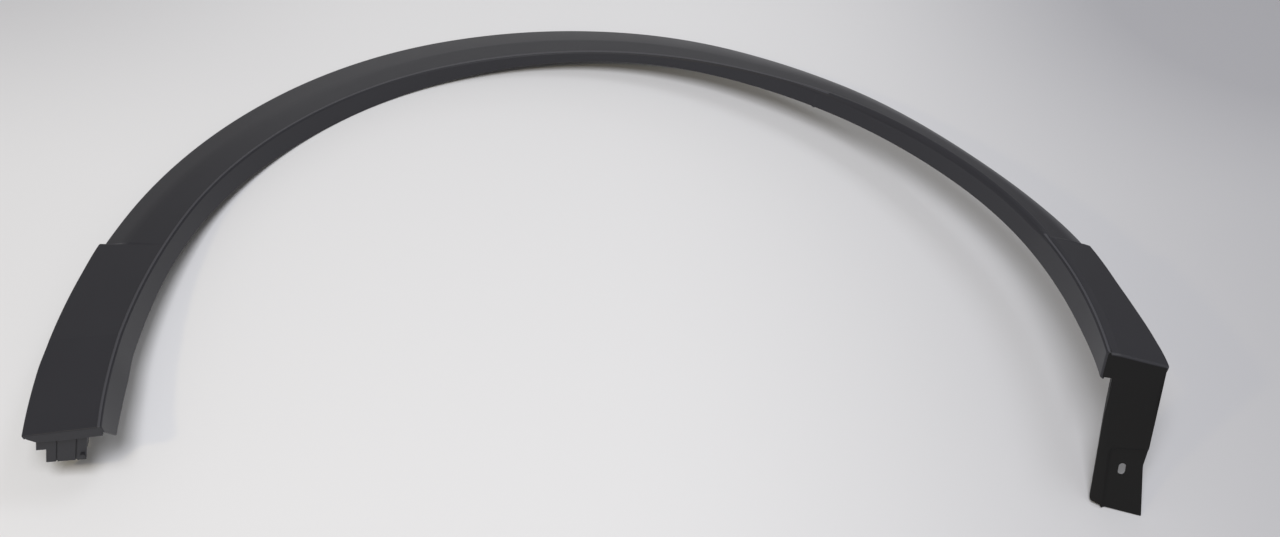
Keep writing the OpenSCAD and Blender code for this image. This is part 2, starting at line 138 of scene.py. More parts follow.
# The panel, in millimetres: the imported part's inset of its front, the joint of its front with the strip's
# rolled end, the depths between which its lean grows, and the depth of the shelf under the flange
END_INSET = 0.3
JOINT_LAP = 0.45
JOINT_GAP = 0.03
BEND_FROM = 26
BEND_TO = 76
SHELF_DEPTH = 24.4

# The panel's mesh, in millimetres: its grid of points, and the least and greatest gap along its outline
SHEET_GRID = 1.3
THIN_GAP = 0.25
OUTLINE_GAP = 1.5

# The recess: how its sides lean, its corner radius and the length of its ramp
RECESS_SIDE_LEAN = 0.038
RECESS_TOP_LEAN = 0.076
RECESS_TOP_SHARE = 0.98
RECESS_CORNER = 5.0
RECESS_RAMP = 2.8

# The panel's side flange and its gusset, in millimetres
SIDE_T = 2.2
GUSSET_IN = 7
GUSSET_W = 14
GUSSET_FROM = 12
GUSSET_RUN = 50
GUSSET_TO = 60

# The left end, in millimetres: its wall's inner side, the depth of the score lines, the nose, and the stays
# and laps behind the tongue
WALL_IN = 1.2
SCORE_DEPTH = 1.0
NOSE_FROM = 1.2
NOSE_TO = 4.8
NOSE_UP = 3
NOSE_TOP = 7.5
NOSE_OUT = 2.0
STAY_UP = 8
STAY_BACK = 8.6
FUSED = 0.4

# The hidden side, in millimetres: how far the first seat, the last seat and the last rib stand from the ends, a
# seat's depth as a share of the flange's and what it lies deeper, how far seats and ribs reach into the
# wall of the face, how far a seat's walls reach into its floor, and the bevel of small edges
FIRST_SEAT = 70
LAST_SEAT = 62
LAST_RIB = 24
SEAT_SHARE = 0.6
SEAT_UNDER = 3
SUNK = 1.2
LAP = 0.05
SOFT_EDGE = 0.25


def mm(name, value, text):
    """A length that is written in millimetres and kept in metres."""
    return FloatProperty(name=name, default=value / 1000, unit="LENGTH", precision=5, description=text)


def deg(name, value, text):
    """An angle that is written in degrees."""
    return FloatProperty(name=name, default=math.radians(value), subtype="ANGLE", description=text)


def plain(name, value, text):
    return FloatProperty(name=name, default=value, description=text)


def color(name, value, text):
    return FloatVectorProperty(name=name, default=value, subtype="COLOR", min=0, max=1, description=text)


class ArchLineSizes(bpy.types.PropertyGroup):
    """The crease as tangent arcs from the right end over the crown to the left end."""

    start_x: mm("Start across", 407, "Crease start at the right end, across from the middle of the wheel")
    start_y: mm("Start up", -51, "Crease start at the right end, up from the middle of the wheel")
    right_leg_r: mm("Right leg radius", 400, "Radius of the right leg")
    right_leg_turn: deg("Right leg turn", 36, "Turn of the right leg")
    right_shoulder_r: mm("Right shoulder radius", 520, "Radius of the flat right shoulder")
    right_shoulder_turn: deg("Right shoulder turn", 32, "Turn of the right shoulder")
    crown_r: mm("Crown radius", 388, "Radius over the crown")
    crown_turn: deg("Crown turn", 41, "Turn of the crown")
    left_shoulder_r: mm("Left shoulder radius", 325, "Radius of the full left shoulder")
    left_shoulder_turn: deg("Left shoulder turn", 58, "Turn of the left shoulder")
    left_leg_r: mm("Left leg radius", 546, "Radius of the long left leg")
    left_leg_turn: deg("Left leg turn", 26, "Turn of the left leg")
    lie_back: deg("Lie back", 8.5, "Roll back of the laid arch")
    lie_side: deg("Lie side", 4.35, "Side tip of the laid arch")


class SectionSizes(bpy.types.PropertyGroup):
    """The cross section of the strip and the places where it changes."""

    wall: mm("Wall", 2.6, "Wall thickness of the moulding")
    flange_draft: mm("Flange draft", 4, "How far the return flange leans in over its depth")
    flange_right: mm("Flange at right end", 26, "Depth of the return flange at the right end")
    flange_shoulder: mm("Flange on right shoulder", 17.5, "Depth of the return flange on the right shoulder")
    flange_crown: mm("Flange at crown", 12, "Depth of the return flange at the crown")
    flange_left: mm("Flange at left shoulder", 23.5, "Depth of the return flange at the left shoulder")
    flange_end: mm("Flange at left end", 25, "Depth of the return flange at the left end")
    flange_cut: mm("Flange corner", 13, "Length of the corner cut off the flange at the left end")
    face_right: mm("Face at right end", 45, "Width of the face at the right end")
    face_step: mm("Face at right step", 35, "Width of the face at the right step")
    face_waist: mm("Face at waist", 30.2, "Width of the face at its waist on the right shoulder")
    face_crown: mm("Face at crown", 48.5, "Width of the face at the crown")
    face_left: mm("Face at left", 60, "Width of the face on the left shoulder")
    face_flare: mm("Face flare", 2.2, "How much wider the face is below the cross crease of the left leg")
    bead_w: mm("Bead width", 1.7, "Width of the raised bead on the crease")
    bead_h: mm("Bead height", 0.45, "Height of the bead over the face")
    groove_h: mm("Groove", 0.5, "Depth of the fine groove between bead and flange")
    rim_h: mm("Rim", 3, "Height of the rim along the outer edge")
    right_step: mm("Right step", 143, "Place of the right step along the crease")
    left_step: mm("Left step", 1186, "Place of the left step along the crease")
    step_run: mm("Step ramp", 3, "Length of the ramp of each step")
    fall_right_leg: mm("Fall on right leg", 8, "Fall of the outer edge on the right leg")
    fall_right: mm("Fall on right shoulder", 15, "Fall of the outer edge on the right shoulder")
    fall_crown: mm("Fall at crown", 10.5, "Fall of the outer edge at the crown")
    fall_left: mm("Fall on left shoulder", 8, "Fall of the outer edge on the left shoulder")
    fall_left_leg: mm("Fall on left leg", 4, "Fall of the outer edge on the left leg")
    chamfer_right: mm("Chamfer at right", 8, "Where the chamfer starts on the right shoulder")
    chamfer_crown: mm("Chamfer at crown", 24, "Where the chamfer starts at the crown")
    chamfer_left: mm("Chamfer at left", 32, "Where the chamfer starts on the left shoulder")
    knee_fall: mm("Knee fall", 1.6, "Fall of the face where the chamfer starts")
    chamfer_full: mm("Chamfer fullness", 2.2, "Fullness of the chamfer on the right shoulder")
    cross_crease: mm("Cross crease", 1297, "Place of the cross crease on the left leg")
    end_fall: mm("End fall", 4, "How much lower the left end of the face lies than the cross crease")


class EndSizes(bpy.types.PropertyGroup):
    """The mounting panel at the right end, the tongue at the left end and the hidden side."""

    panel_t: mm("Panel thickness", 2.8, "Thickness of the end wall and the panel")
    panel_from: mm("Panel inner edge", 4.8, "Inner edge of the panel, out from the crease")
    panel_to: mm("Panel outer edge", 44.4, "Outer edge of the panel half way down")
    panel_foot_to: mm("Panel foot", 46.8, "Outer edge of the panel at its flared foot")
    panel_h: mm("Panel depth", 131, "Depth of the panel's lower edge at its inner corner")
    foot_drop: mm("Foot drop", 7.8, "Extra depth of the lower edge at its outer corner")
    lean_top: deg("Lean at top", 8, "Lean of the panel where it leaves the face")
    lean_foot: deg("Lean at foot", 24, "Lean of the panel at its foot")
    side_d: mm("Side flange", 8, "Depth of the side flange along the panel's inner edge")
    recess_at: mm("Recess top", 86, "Depth under the face where the recess begins")
    recess_from: mm("Recess side", 14, "Inner side of the recess")
    recess_d: mm("Recess depth", 1.9, "Step back of the recess")
    slot_w: mm("Slot width", 5.8, "Width of the slot hole")
    slot_l: mm("Slot length", 11.4, "Length of the slot hole")
    slot_x: mm("Slot place", 26, "Place of the slot, out from the crease")
    slot_z: mm("Slot depth", 103.3, "Depth of the slot's middle under the face")
    end_wall_h: mm("End wall", 10, "Height of the wall that closes the left end")
    tongue_back: mm("Tongue setback", 4.2, "How far the tongue sits behind the end wall")
    tongue_from: mm("Tongue inner side", 11, "Inner side of the tongue at the level of the face")
    tongue_to: mm("Tongue outer side", 43, "Outer side of the tongue at the level of the face")
    tab_to: mm("Tab outer side", 51, "Outer side of the short tab at the level of the face")
    tab_h: mm("Tab depth", 26, "Depth of the tab's lower edge")
    tongue_lean: plain("Tongue lean", 0.33, "How far the tongue leans outward per unit of depth")
    tongue_h: mm("Tongue depth", 41, "Depth of the tongue's lower edge")
    tongue_t: mm("Tongue thickness", 2.4, "Thickness of the tongue")
    score_at: mm("Score line", 34.5, "Place of the score line that runs down the tongue")
    second_score_at: mm("Second score line", 19, "Place of the second score line")
    score_w: mm("Score width", 1.2, "Width of the score lines")
    seat_count: IntProperty(name="Clip seats", default=8, min=2, description="Number of clip seats")
    seat_l: mm("Seat length", 22, "Outer length of a clip seat along the arch")
    seat_w: mm("Seat width", 16, "Outer width of a clip seat across the face")
    seat_from: mm("Seat side", 5, "Inner side of the clip seats")
    seat_hole_r: mm("Seat hole", 4.1, "Radius of the round end of the keyhole")
    seat_neck: mm("Seat neck", 5, "Width of the keyhole's open neck")
    seat_t: mm("Seat wall", 2, "Thickness of a seat's walls and floor")
    rib_t: mm("Rib thickness", 1.8, "Thickness of the cross ribs")


class FinishLooks(bpy.types.PropertyGroup):
    """Colours and strengths of the plastic, the floor and the lamps."""

    plastic: color("Plastic", (0.0245, 0.0245, 0.0305), "Charcoal of the moulded plastic")
    roughness: plain("Roughness", 0.4, "Mean roughness of the grained surface")
    shine: plain("Shine", 0.33, "Strength of the grained surface's reflection")
    # The bead crest's colour is lighter than the plastic: a painted highlight along the bead.
    crest: color("Bead crest", (0.056, 0.056, 0.066), "Painted highlight on the bead's crest")
    # The panel's colour is darker than the strip's plastic: painted shade on the same moulding, besides its
    # duller finish.
    panel: color("Panel plastic", (0.0105, 0.0103, 0.0107), "Black of the mounting panel, darkened as painted shade")
    panel_roughness: plain("Panel roughness", 0.6, "Mean roughness of the mounting panel")
    grain_mm: mm("Grain size", 0.45, "Size of the moulded grain")
    floor: color("Floor", (0.76, 0.76, 0.785), "Pale floor")
    floor_falloff_shade: color("Floor falloff shade", (0.44, 0.44, 0.475), "Painted shade of the lamps' falloff over the floor's right side and far corners")
    main_lamp: plain("Main lamp", 42.0, "Power of the soft lamp high in front, in watts")
    side_lamp: plain("Side lamp", 5.0, "Power of the soft lamp above the right leg, in watts")
    back_wall: plain("Back wall", 6.0, "Power of the wide pale light low behind, in watts")
    left_lamp: plain("Left lamp", 2.4, "Power of the small warm lamp at the left, in watts")
    room: plain("Room", 0.28, "Strength of the even light of the room")


def millimetres(group):
    """The group's values by name, with lengths in millimetres and angles in radians."""
    values = {}
    for prop in group.bl_rna.properties:
        if prop.identifier in ("rna_type", "name"):
            continue
        value = getattr(group, prop.identifier)
        values[prop.identifier] = value * 1000 if prop.unit == "LENGTH" else value
    return SimpleNamespace(**values)


def smooth_curve(knots, place):
    """Smooth curve without overshoot through (place, value) knots."""
    xs = [k[0] for k in knots]
    ys = [k[1] for k in knots]
    if place <= xs[0]:
        return ys[0]
    if place >= xs[-1]:
        return ys[-1]
    rises = [(ys[i + 1] - ys[i]) / (xs[i + 1] - xs[i]) for i in range(len(xs) - 1)]
    slopes = [0.0] * len(xs)
    for i in range(1, len(xs) - 1):
        if rises[i - 1] * rises[i] > 0:
            slopes[i] = 2 * rises[i - 1] * rises[i] / (rises[i - 1] + rises[i])
    i = max(k for k in range(len(xs) - 1) if place >= xs[k])
    gap = xs[i + 1] - xs[i]
    t = (place - xs[i]) / gap
    return (
        (2 * t**3 - 3 * t**2 + 1) * ys[i]
        + (t**3 - 2 * t**2 + t) * gap * slopes[i]
        + (3 * t**2 - 2 * t**3) * ys[i + 1]
        + (t**3 - t**2) * gap * slopes[i + 1]
    )


def clamp(value, low=0.0, high=1.0):
    return min(high, max(low, value))


def ease(t):
    """Smooth step from 0 to 1."""
    t = clamp(t)
    return t * t * (3 - 2 * t)


def softened(corners, steps=CORNER_POINTS - 1):
    """An open outline with its corners rounded. A corner is (u, z, radius) and gives steps + 1 points."""
    points = []
    for i, (u, z, radius) in enumerate(corners):
        here = np.array((u, z))
        if radius <= 0 or i in (0, len(corners) - 1):
            points.append(here)
            continue
        before = np.array(corners[i - 1][:2]) - here
        after = np.array(corners[i + 1][:2]) - here
        before_len, after_len = np.linalg.norm(before), np.linalg.norm(after)
        half_turn = math.acos(clamp(before @ after / (before_len * after_len), -1, 1)) / 2
        cut = min(radius / math.tan(half_turn), 0.48 * before_len, 0.48 * after_len)
        start = here + before / before_len * cut
        end = here + after / after_len * cut
        for k in range(steps + 1):
            t = k / steps
            points.append((1 - t) ** 2 * start + 2 * t * (1 - t) * here + t * t * end)
    return np.array(points)


class ArchShape:
    """The strip's form in its own frame: X across the wheel, Y up, Z out of the car, in millimetres."""

    def __init__(self, line, section, ends):
        self.line, self.sec, self.ends = line, section, ends
        self.arcs = [
            (line.right_leg_r, line.right_leg_turn),
            (line.right_shoulder_r, line.right_shoulder_turn),
            (line.crown_r, line.crown_turn),
            (line.left_shoulder_r, line.left_shoulder_turn),
            (line.left_leg_r, line.left_leg_turn),
        ]
        self.length = sum(r * turn for r, turn in self.arcs)

    def crease(self, s):
        """Point and heading of the crease at s."""
        x, y, heading = self.line.start_x, self.line.start_y, math.pi / 2
        left = s
        for i, (r, turn) in enumerate(self.arcs):
            part = left if i == len(self.arcs) - 1 else min(left, r * turn)
            after = heading + part / r
            x += r * (math.sin(after) - math.sin(heading))
            y -= r * (math.cos(after) - math.cos(heading))
            heading = after
            left -= part
            if left <= 0:
                break
        return x, y, heading

    def between(self, s):
        """1 between the two steps and 0 on the legs."""
        c = self.sec
        up = ease((s - c.right_step) / c.step_run + 0.5)
        return min(up, 1 - ease((s - c.left_step) / c.step_run + 0.5))

    def trimmed(self, s):
        """How much of the flange's depth the cut corner at the left end takes away, as a share."""
        return 0.76 * max(0, s - self.length + self.sec.flange_cut) / self.sec.flange_cut

    def flange_h(self, s):
        """Depth of the return flange."""
        c = self.sec
        knots = [
            (0, c.flange_right),
            (WAIST_AT, c.flange_right - 4),
            (FULL_AT, c.flange_shoulder),
            (CROWN_AT, c.flange_crown),
            (SHOULDER_AT + 30, c.flange_left),
            (c.left_step, c.flange_left - 3),
            (c.cross_crease, c.flange_end),
        ]
        return smooth_curve(knots, s) * (1 - self.trimmed(s))

    def face_w(self, s):
        """Width of the face from the crease to the outer edge."""
        c = self.sec
        knots = [
            (0, c.face_right),
            (30, c.face_right - 3.4),
            (70, c.face_step + 2),
            (100, c.face_step + 0.2),
            (c.right_step, c.face_step),
            (WAIST_AT - 30, c.face_waist + 0.7),
            (WAIST_AT, c.face_waist),
            (FULL_AT, 39),
            (CROWN_AT, c.face_crown),
            (SHOULDER_AT, c.face_left),
            (c.left_step - c.step_run, c.face_left + 0.6),
            (c.left_step + c.step_run, c.face_left + c.face_flare),
            (c.left_step + 40, c.face_left + 1),
            (c.cross_crease, c.face_left + 0.4),
            (c.cross_crease + KINK, c.face_left + 0.8 * c.face_flare),
            (self.length, c.face_left + c.face_flare),
        ]
        return smooth_curve(knots, s)

    def free_edge_in(self, s):
        """How far in the flange's free edge stands: hardly at all where its corner is cut off."""
        return LEAST_LEAN + (self.flange_lean(s) - LEAST_LEAN) * (1 - self.trimmed(s))

    def flange_lean(self, s):
        """How far the flange leans in over its depth: a little more on both legs."""
        c = self.sec
        knots = [
            (0, 0),
            (60, 1.2),
            (190, 0),
            (SHOULDER_AT, 0),
            (c.left_step + 40, 1),
            (c.cross_crease, 0.9),
            (c.cross_crease + KINK, c.face_flare),
            (self.length - 40, 1.5),
            (self.length, 0.2),
        ]
        return c.flange_draft + smooth_curve(knots, s)

    def knee_at(self, s):
        """Where the chamfer starts, out from the crease."""
        c = self.sec
        knots = [
            (c.right_step, c.chamfer_right),
            (330, c.chamfer_right),
            (FULL_AT, c.chamfer_right + 6.5),
            (500, c.chamfer_right + 6.7),
            (CROWN_AT, c.chamfer_crown - 5),
            (800, c.chamfer_crown - 1),
            (SHOULDER_AT, c.chamfer_left - 7),
            (1100, c.chamfer_left),
            (c.left_step, c.chamfer_left + 3),
        ]
        return smooth_curve(knots, s)

    def leg_fall(self, s):
        """Fall of the outer edge on the nearer leg."""
        return self.sec.fall_right_leg if s < CROWN_AT else self.sec.fall_left_leg

    def edge_fall(self, s):
        """Fall of the outer edge: the leg's beyond the steps and the chamfer's between them."""
        c = self.sec
        knots = [
            (c.right_step, c.fall_right),
            (FULL_AT, c.fall_right - 0.5),
            (CROWN_AT, c.fall_crown),
            (SHOULDER_AT, c.fall_left),
            (c.left_step, c.fall_left + 1),
        ]
        b = self.between(s)
        return self.leg_fall(s) * (1 - b) + smooth_curve(knots, s) * b

    def knee_fall(self, s):
        """Fall of the face where the chamfer starts."""
        b = self.between(s)
        return self.leg_fall(s) * self.knee_at(s) / self.face_w(s) * (1 - b) + self.sec.knee_fall * b

    def fullness(self, s):
        """How far the chamfer swells over a straight one."""
        knots = [(0, 0.4), (self.sec.right_step, 1), (FULL_AT, 0.8), (CROWN_AT, 0.15), (SHOULDER_AT, 0)]
        return self.sec.chamfer_full * smooth_curve(knots, s)

    def bead_at(self, s):
        """Middle of the raised bead, out from the crease line."""
        knots = [
            (0, -0.6),
            (100, 0.6),
            (400, 2.8),
            (500, -0.4),
            (CROWN_AT, -3.6),
            (720, -4.0),
            (800, -3.7),
            (900, -2.9),
            (1100, -1.2),
            (1270, -0.6),
            (self.length, 1.5),
        ]
        return smooth_curve(knots, s)

    def bead_share(self, s):
        """1 where the bead shows, 0 on the right shoulder, where the face rolls over into the flange."""
        at = self.sec.right_step
        return smooth_curve([(at - 14, 1), (at + 18, 0), (FULL_AT - 70, 0), (FULL_AT + 60, 1)], s)

    def skew(self, s):
        """Skew of the cross lines, in radians."""
        c = self.sec
        knots = [
            (0, -10.4),
            (c.right_step, -27),
            (WAIST_AT + 60, 0),
            (SHOULDER_AT, 0),
            (c.left_step, 1),
            (c.cross_crease, 0),
            (self.length, -8),
        ]
        return math.radians(smooth_curve(knots, s))

    def bend(self, s):
        """How much lower the strip lies below the cross crease."""
        c = self.sec
        t = max(0, s - c.cross_crease) / (self.length - c.cross_crease)
        return c.end_fall * (1 - (1 - t) ** 1.7)

    def face_z(self, s, u):
        """Height of the face's outer side u out from the crease."""
        w, fall, k, kf = self.face_w(s), self.edge_fall(s), self.knee_at(s), self.knee_fall(s)
        t = (u - k) / (w - k)
        inner = -kf * u / k
        outer = -kf - (fall - kf) * t + 4 * self.fullness(s) * t * (1 - t)
        turn = abs((fall - kf) / (w - k) - kf / k)
        soft = max(1e-6, turn * smooth_curve([(320, 9), (FULL_AT, 1.5), (800, 1.5), (SHOULDER_AT, 9)], s))
        blend = max(0.0, soft - abs(inner - outer)) / soft
        return min(inner, outer) - blend * blend * soft / 4

    def at(self, s, u, z):
        """A point u out from the crease and z above it. The right end is cut at the panel's lean."""
        x, y, heading = self.crease(max(0.0, s))
        slide = u * math.tan(self.skew(s)) + min(0.0, s)
        slide += z * math.tan(self.ends.lean_top) * clamp(1 - s / FIRST_RUN)
        return (
            x + u * math.sin(heading) + slide * math.cos(heading),
            y - u * math.cos(heading) + slide * math.sin(heading),
            z - self.bend(s),
        )

    def ring(self, s, inset=0.0):
        """The wall's closed outline at s, from the rim over the face, bead and flange, and back inside."""
        c = self.sec
        w, fall, h = self.face_w(s), self.edge_fall(s), self.flange_h(s)
        wall = c.wall
        lean = self.free_edge_in(s)
        nub = NUB_H * math.exp(-(((s - NUB_AT) / NUB_RUN) ** 2))
        rim = [(w - RIM_IN, -fall - c.rim_h, RIM_R), (w, -fall, EDGE_R)]
        bead = self.bead_corners(s)
        knee, inner_end = self.knee_at(s), bead[0][0] + 0.9
        face_us = np.concatenate(
            (
                np.linspace(w - 2.2, knee + KNEE_REACH, FACE_STEPS - KNEE_STEPS - BEAD_SIDE_STEPS + 1)[:-1],
                np.linspace(knee + KNEE_REACH, knee - KNEE_REACH, KNEE_STEPS),
                np.linspace(knee - KNEE_REACH, inner_end, BEAD_SIDE_STEPS + 1)[1:],
            )
        )
        face = [(u, self.face_z(s, u), 0) for u in face_us]
        # Down the flange, then back under the bead, the face and the rim
        flange = [(-lean, -h - nub, FREE_EDGE_R), (-lean + wall, -h, RIM_R)]
        under = [(wall - 0.7, -1.7 - wall, INNER_R), (wall + 1.6, -0.15 - wall, INNER_R)]
        inner_us = np.linspace(wall + 3.5, w - wall - 2, INNER_STEPS)
        inner = [(u, self.face_z(s, u) - wall, 0) for u in inner_us]
        back = [(w - wall, -fall - wall + 0.1, FREE_EDGE_R), (w - wall, -fall - c.rim_h, BEAD_R)]
        corners = rim + face + bead + flange + under + inner + back
        loop = softened([corners[-1]] + corners + [corners[0]])[1:-1]
        if inset > 0:
            loop = loop + inset * self.inset_ways(loop, w)
        return loop

    def bead_corners(self, s):
        """Corners of the bead and its groove, which pass into a rolled edge where no bead shows."""
        c = self.sec
        at, half, share = self.bead_at(s), c.bead_w / 2, self.bead_share(s)
        crisp = [
            (at + half + BEAD_FLANK, self.face_z(s, at + half + BEAD_FLANK), FLANK_R),
            (at + half, c.bead_h, BEAD_R),
            (at - half, c.bead_h, BEAD_R),
            (at - half - GROOVE_FLANK, -c.groove_h, FINE_R),
            (at - half - GROOVE_LAND, -0.5 * c.groove_h, FINE_R),
            (at - half - FLANGE_TOP, -c.groove_h - FLANGE_TOP_DROP, RIM_R),
        ]
        # The rolled edge turns a quarter circle from the face to the flange
        turns = [math.pi / 2 * i / (len(crisp) - 1) for i in range(len(crisp))]
        rolled_edge = [
            (ROLLED_R * (1 - math.sin(a)) - ROLLED_IN, ROLLED_R * (math.cos(a) - 1), ROLLED_SOFT_R)
            for a in turns
        ]
        return [
            tuple(share * p + (1 - share) * q for p, q in zip(one, other))
            for one, other in zip(crisp, rolled_edge)
        ]

    def sharp_corners(self, s):
        """The section's outermost points before any rounding."""
        c = self.sec
        w, fall, h = self.face_w(s), self.edge_fall(s), self.flange_h(s)
        lean = self.free_edge_in(s)
        outer = [(w - RIM_IN, -fall - c.rim_h), (w, -fall - EDGE_DROP)]
        return outer + [(BEAD_FROM, c.bead_h), (-lean, -h), (-lean + c.wall, -h)]

    @staticmethod
    def inset_ways(loop, w):
        """Which way each outer point moves where the end of the strip is rounded over."""
        ways = np.zeros_like(loop)
        for i in range(OUTER_POINTS):
            u = loop[i][0]
            across = clamp((u - (w - ROLL_EDGE)) / ROLL_EDGE) - clamp((ROLL_CREASE_AT - u) / ROLL_CREASE)
            ways[i] = (-across, -(1 - 0.8 * abs(across)))
        return ways


def arch_shape(context):
    return ArchShape(
        millimetres(context.scene.arch_line),
        millimetres(context.scene.arch_section),
        millimetres(context.scene.arch_ends),
    )


def laid_matrix(line):
    """How the arch's own frame is turned into the way that the part lies."""
    back = Matrix.Rotation(-line.lie_back, 4, "X")
    side = Matrix.Rotation(-line.lie_side, 4, "Y")
    return side @ back


def make_piece(name, parts, shape, material, bevel=0.0):
    """A mesh object from solids in the arch's frame in millimetres, laid down and riding on the frame."""
    turn = np.array(laid_matrix(shape.line).to_3x3())
    laid = (np.asarray(parts.points, float) @ turn.T + shift_of(shape)) / 1000
    mesh = bpy.data.meshes.new(name)
    mesh.from_pydata(laid.tolist(), [], [tuple(int(i) for i in f) for f in parts.faces])
    mesh.validate()
    mesh.update()
    mesh.polygons.foreach_set("use_smooth", [True] * len(mesh.polygons))
    mesh.materials.append(material)
    piece = bpy.data.objects.new(name, mesh)
    bpy.context.scene.collection.objects.link(piece)
    if bevel:
        edge = piece.modifiers.new("Softened edges", "BEVEL")
        edge.width = bevel / 1000
        edge.segments = 2
        edge.limit_method = "ANGLE"
        edge.angle_limit = math.radians(40)
    weigh = piece.modifiers.new("Even shading", "WEIGHTED_NORMAL")
    weigh.weight = 60
    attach(piece, "root")
    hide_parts(NODE)
    return piece


class Parts:
    """Closed solids gathered into one mesh."""

    def __init__(self):
        self.points = []
        self.faces = []

    def add(self, points, faces):
        base = len(self.points)
        self.points += [tuple(p) for p in points]
        self.faces += [[base + i for i in f] for f in faces]

    def loft(self, rings):
        """Skin over closed rings of the same number of points, with both ends capped."""
        m, n = len(rings[0]), len(rings)
        points = [p for ring in rings for p in ring]
        faces = [
            (i * m + j, i * m + (j + 1) % m, (i + 1) * m + (j + 1) % m, (i + 1) * m + j)
            for i in range(n - 1)
            for j in range(m)
        ]
        faces.append(tuple(reversed(range(m))))
        faces.append(tuple((n - 1) * m + j for j in range(m)))
        self.add(points, faces)

    def prism(self, outline, place, low, high, along):
        """Prism over a closed outline of (x, z) points, from low to high along the other local axis."""
        if along == "y":
            rings = [[place(x, q, z) for x, z in outline] for q in (low, high)]
        else:
            rings = [[place(x, y, q) for x, y in outline] for q in (low, high)]
        self.loft(rings)


def strip_places(shape):
    """Places of the rings: close together over the short runs, even between them."""
    c = shape.sec
    marks = [
        ROLL_RIGHT,
        FIRST_RUN,
        c.right_step - c.step_run,
        c.right_step + c.step_run,
        NUB_AT - NUB_REACH,
        NUB_AT + NUB_REACH,
        c.left_step - c.step_run,
        c.left_step + c.step_run,
        c.cross_crease - CREASE_REACH,
        c.cross_crease + CREASE_REACH,
        shape.length - c.flange_cut,
        shape.length - ROLL_LEFT,
    ]
    places = [marks[0]]
    for a, b in zip(marks[:-1], marks[1:]):
        target = CLOSE if b - a < SHORT_RUN else WIDE
        count = max(2, math.ceil((b - a) / target))
        places += [a + (b - a) * i / count for i in range(1, count + 1)]
    return places


def rolled(shape, roll, end):
    """Rings that round the strip's end over, from the skin to the end cut. end is 0 or the arch's length."""
    rings = []
    for i in range(1, ROLL_STEPS + 1):
        a = math.pi / 2 * i / ROLL_STEPS
        s = roll * (1 - math.sin(a))
        s = s if end == 0 else end - s
        loop = shape.ring(s, roll * (1 - math.cos(a)))
        rings.append([shape.at(s, u, z) for u, z in loop])
    return rings


def shift_of(shape):
    """Millimetres from the turned arch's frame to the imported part's frame, found from its box."""
    turn = np.array(laid_matrix(shape.line).to_3x3())
    points = []
    for s in strip_places(shape)[::2] + [0.0, shape.length]:
        points += [shape.at(s, u, z) for u, z in shape.sharp_corners(s)]
    e = shape.ends
    depth = e.panel_h + e.foot_drop
    for b in (e.recess_d + END_INSET, e.recess_d + END_INSET + e.panel_t):
        points.append(panel_point(shape, e.panel_foot_to, depth, b))
    laid = np.array(points) @ turn.T
    low, high = laid.min(0), laid.max(0)
    target_low, target_high = np.array(CAD_LOW) * 1000, np.array(CAD_HIGH) * 1000
    middle = (target_low + target_high) / 2 - (low + high) / 2
    return np.array((middle[0], middle[1], target_low[2] - low[2]))


def panel_out(shape, depth):
    """How far the panel has leaned out at a depth under the face."""
    e = shape.ends
    bend = (e.lean_foot - e.lean_top) / (BEND_TO - BEND_FROM)
    out = min(depth, BEND_FROM) * math.tan(e.lean_top)
    bent = clamp(depth, BEND_FROM, BEND_TO) - BEND_FROM
    out += (math.log(math.cos(e.lean_top)) - math.log(math.cos(e.lean_top + bend * bent))) / bend
    return out + max(0, depth - BEND_TO) * math.tan(e.lean_foot)


def end_placer(shape, s):
    """Local coordinates at an end: x out along its cut, y along the strip, z up."""
    x0, y0, heading = shape.crease(s)
    a = heading - math.pi / 2 + shape.skew(s)
    drop = shape.bend(s)

    def place(x, y, z):
        return (x0 + x * math.cos(a) - y * math.sin(a), y0 + x * math.sin(a) + y * math.cos(a), z - drop)

    return place


def panel_point(shape, x, depth, back):
    return end_placer(shape, 0)(x, back - panel_out(shape, depth), -depth)


def recess_depth(shape, x, depth):
    """Step back of the panel's surface in the recess, with a rounded inner corner."""
    e = shape.ends
    side = x - e.recess_from - (depth - e.recess_at) * RECESS_SIDE_LEAN
    top = (depth - e.recess_at + (x - e.recess_from) * RECESS_TOP_LEAN) * RECESS_TOP_SHARE
    inside = RECESS_CORNER - math.hypot(max(RECESS_CORNER - side, 0), max(RECESS_CORNER - top, 0))
    return e.recess_d * ease((inside + RECESS_RAMP / 2) / RECESS_RAMP)


def inner_roll(shape, x, depth):
    """How far the panel's inner edge rolls back."""
    width = smooth_curve([(30, 1.5), (80, 7), (128, 12)], depth)
    gone = clamp(1 - (x - shape.ends.panel_from) / width)
    return 0.3 * width * (1 - math.sqrt(1 - gone * gone)) * clamp((depth - BEND_FROM) / 6)


def panel_outline(shape):
    """Closed outline of end wall and panel as (x, depth) points."""
    e = shape.ends
    ring = shape.ring(0.0, ROLL_RIGHT - JOINT_LAP)
    stretch = 1 / math.cos(shape.skew(0))
    top = [(u * stretch, -z) for u, z in ring[CORNER_POINTS : OUTER_POINTS - CORNER_POINTS]]
    foot = e.panel_h + e.foot_drop
    corners = [
        (*top[-1], 0),
        (-shape.sec.flange_draft + 1.9, SHELF_DEPTH, 1.5),
        (e.panel_from + 1.9, SHELF_DEPTH + 0.2, 1.2),
        (e.panel_from + 0.4, 60, 30),
        (e.panel_from, e.panel_h, 2.0),
        (13.0, e.panel_h + 1.5, 0.8),
        (14.6, e.panel_h + 3.6, 0.8),
        (e.panel_foot_to, foot, 0.8),
        (e.panel_to - 2.9, 98, 14),
        (e.panel_to - 0.9, 84.5, 5),
        (e.panel_to, 62, 30),
        (*top[0], 0),
    ]
    lower = [tuple(p) for p in softened(corners, 6)[1:-1]]
    return thinned(top) + spread(lower, OUTLINE_GAP)


def thinned(points):
    """The same points without those that nearly fall on the one before."""
    kept = [points[0]]
    for p in points[1:]:
        if math.dist(p, kept[-1]) >= THIN_GAP:
            kept.append(p)
    return kept


